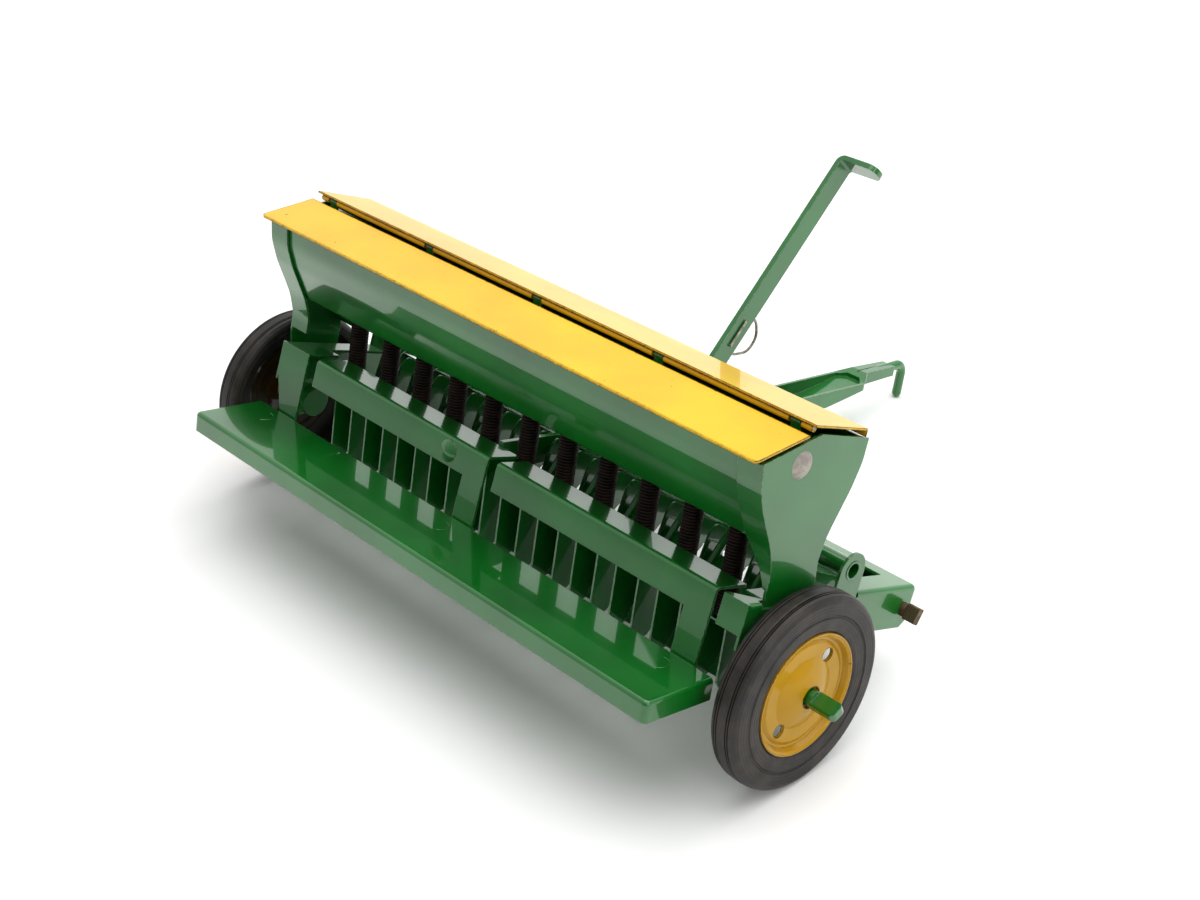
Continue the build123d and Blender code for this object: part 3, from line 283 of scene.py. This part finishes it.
fill(tyre_rubber, rubber_surface, {"Roughness": 0.48, "IOR": 1.52},
     {"Base Color": rubber_tint.outputs["Color"], "Normal": scuff.outputs["Normal"]})


# Bare metals. The opener rod and the springs are plain steel that has gone brown-black, with rust in
# patches; the clip and the hinge wires are drawn wire; the box rivets are soft aluminium, scuffed bright.
PATCH_RANGE = (0.4, 0.62)
DULL_SHINE = 0.35               # what is left of the metal's shine in a dull patch
DULL_ROUGHER, ROUGHEST = 0.35, 0.9
PIT_DEPTH_MM, PIT_STRENGTH = 0.05, 0.3


def bare_metal(name, bright, dull, patch_mm, rough, shine):
    """A bare metal in two tones, mixed in patches."""
    material, surface, place = blank_material(name)
    patch = noise(material, place, patch_mm, 6.0, Roughness=0.7)
    share = shade(material, "ShaderNodeMapRange", {"From Min": PATCH_RANGE[0], "From Max": PATCH_RANGE[1]},
                  {"Value": patch.outputs["Fac"]})
    mixed = shade(material, "ShaderNodeMixRGB", {"Color1": colour(bright), "Color2": colour(dull)},
                  {"Fac": share.outputs["Result"]})
    metal = shade(material, "ShaderNodeMapRange", {"To Min": shine, "To Max": shine * DULL_SHINE},
                  {"Value": share.outputs["Result"]})
    grain = shade(material, "ShaderNodeMapRange",
                  {"To Min": rough, "To Max": min(rough + DULL_ROUGHER, ROUGHEST)},
                  {"Value": share.outputs["Result"]})
    pits = shade(material, "ShaderNodeBump", {"Strength": PIT_STRENGTH, "Distance": PIT_DEPTH_MM * MM},
                 {"Height": patch.outputs["Fac"]})
    fill(material, surface, links={"Base Color": mixed.outputs["Color"], "Metallic": metal.outputs["Result"],
                                   "Roughness": grain.outputs["Result"], "Normal": pits.outputs["Normal"]})
    return material


rusty_steel = bare_metal("rusty_steel", "#7A6B58", "#4E3A26", patch_mm=1.8, rough=0.42, shine=0.9)
spring_steel = bare_metal("oiled_spring_steel", "#231E1C", "#2E1A12", patch_mm=2.5, rough=0.36, shine=0.75)
drawn_wire = bare_metal("drawn_wire", "#A8A49A", "#6E675C", patch_mm=3.0, rough=0.28, shine=1.0)
rivet_aluminium = bare_metal("scuffed_aluminium", "#AFA9A0", "#97908A", patch_mm=2.6, rough=0.42, shine=1.0)

finishes = {"green_enamel": green_enamel, "yellow_enamel": lid_yellow, "tyre_rubber": tyre_rubber,
            "dark_steel": rusty_steel, "bright_wire": drawn_wire, "aluminium": rivet_aluminium}
for part in frame["record"]["subparts"]:
    slots = nodes[part["node"]].data.materials
    slots.clear()
    slots.append(wheel_yellow if part["node"].startswith("wheel_disc") else finishes[part["material_slot"]])


# The seed tubes are close-wound springs of oiled wire. Each hangs from the seed box and stands in its
# opener's boot.
WIRE_RADIUS = 0.47
WIRE_SIDES = 7
SPRING_RADIUS = 2.33
SPRING_Y = -1.6
SPRING_TOP, SPRING_FOOT = 36.5, 8.9
SPRING_TURNS = 30
TURN_STEPS = 16
WIRE_SMOOTH_ANGLE = math.radians(60)
bpy.ops.object.select_all(action="DESELECT")
bpy.ops.mesh.primitive_circle_add(vertices=WIRE_SIDES, radius=WIRE_RADIUS,
                                  location=(SPRING_RADIUS, 0, WIRE_RADIUS), rotation=(math.pi / 2, 0, 0))
coil = bpy.context.active_object
bpy.ops.object.transform_apply(location=True, rotation=True, scale=True)
bpy.ops.object.modifier_add(type="SCREW")
winding = coil.modifiers[-1]
winding.iterations = SPRING_TURNS
winding.screw_offset = (SPRING_TOP - SPRING_FOOT - 2 * WIRE_RADIUS) / SPRING_TURNS
winding.steps = winding.render_steps = TURN_STEPS
bpy.ops.object.modifier_apply(modifier=winding.name)
bpy.ops.object.mode_set(mode="EDIT")
bpy.ops.mesh.select_all(action="SELECT")
bpy.ops.mesh.remove_doubles(threshold=WIRE_RADIUS / 100)
bpy.ops.mesh.fill_holes(sides=WIRE_SIDES)
bpy.ops.mesh.normals_make_consistent(inside=False)
bpy.ops.object.mode_set(mode="OBJECT")
bpy.ops.object.shade_smooth_by_angle(angle=WIRE_SMOOTH_ANGLE)
coil.data.materials.append(spring_steel)
for tube in sorted(name for name in nodes if name.startswith("seed_tube_")):
    low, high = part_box(tube)
    tube_x = (low[0] + high[0]) / 2 / MM
    spring = bpy.data.objects.new(tube.replace("seed_tube", "spring"), coil.data.copy())
    bpy.context.scene.collection.objects.link(spring)
    spring.data.transform(rest @ Matrix.Translation((tube_x, SPRING_Y, SPRING_FOOT)))
    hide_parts(tube)
    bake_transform(spring)
bpy.data.objects.remove(coil)


# Three spots of weld under the footboard have each raised a faint open ring in the enamel on top, a few
# millimetres across.
BOARD_TOP = 3.61
WELD_PLACES = ((-86.0, -26.5), (-1.5, -26.5), (84.0, -26.5))
WELD_RADIUS = 3.1
WELD_BEAD = 0.22
WELD_SUNK = 0.45                # share of the bead's radius that lies below the board's top
WELD_OPENING = 0.25             # where the ring is cut open, as a share of its radius from its middle
WELD_CUT_ACROSS = (1, 0.5, 0)
WELD_SMOOTH_ANGLE = math.radians(50)
bpy.ops.object.select_all(action="DESELECT")
bpy.ops.mesh.primitive_torus_add(major_radius=WELD_RADIUS, minor_radius=WELD_BEAD, major_segments=56,
                                 minor_segments=8)
bead = bpy.context.active_object
bpy.ops.object.mode_set(mode="EDIT")
bpy.ops.mesh.select_all(action="SELECT")
bpy.ops.mesh.bisect(plane_co=(WELD_RADIUS * WELD_OPENING, 0, 0), plane_no=WELD_CUT_ACROSS,
                    clear_inner=True, use_fill=True)
bpy.ops.mesh.select_all(action="SELECT")
bpy.ops.mesh.normals_make_consistent(inside=False)
bpy.ops.object.mode_set(mode="OBJECT")
bpy.ops.object.shade_smooth_by_angle(angle=WELD_SMOOTH_ANGLE)
bead.data.materials.append(green_enamel)
for number, (weld_x, weld_y) in enumerate(WELD_PLACES, 1):
    mark = bpy.data.objects.new(f"weld_mark_{number}", bead.data.copy())
    bpy.context.scene.collection.objects.link(mark)
    mark.data.transform(rest @ Matrix.Translation((weld_x, weld_y, BOARD_TOP - WELD_BEAD * WELD_SUNK)))
    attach(mark, "chassis")
bpy.data.objects.remove(bead)
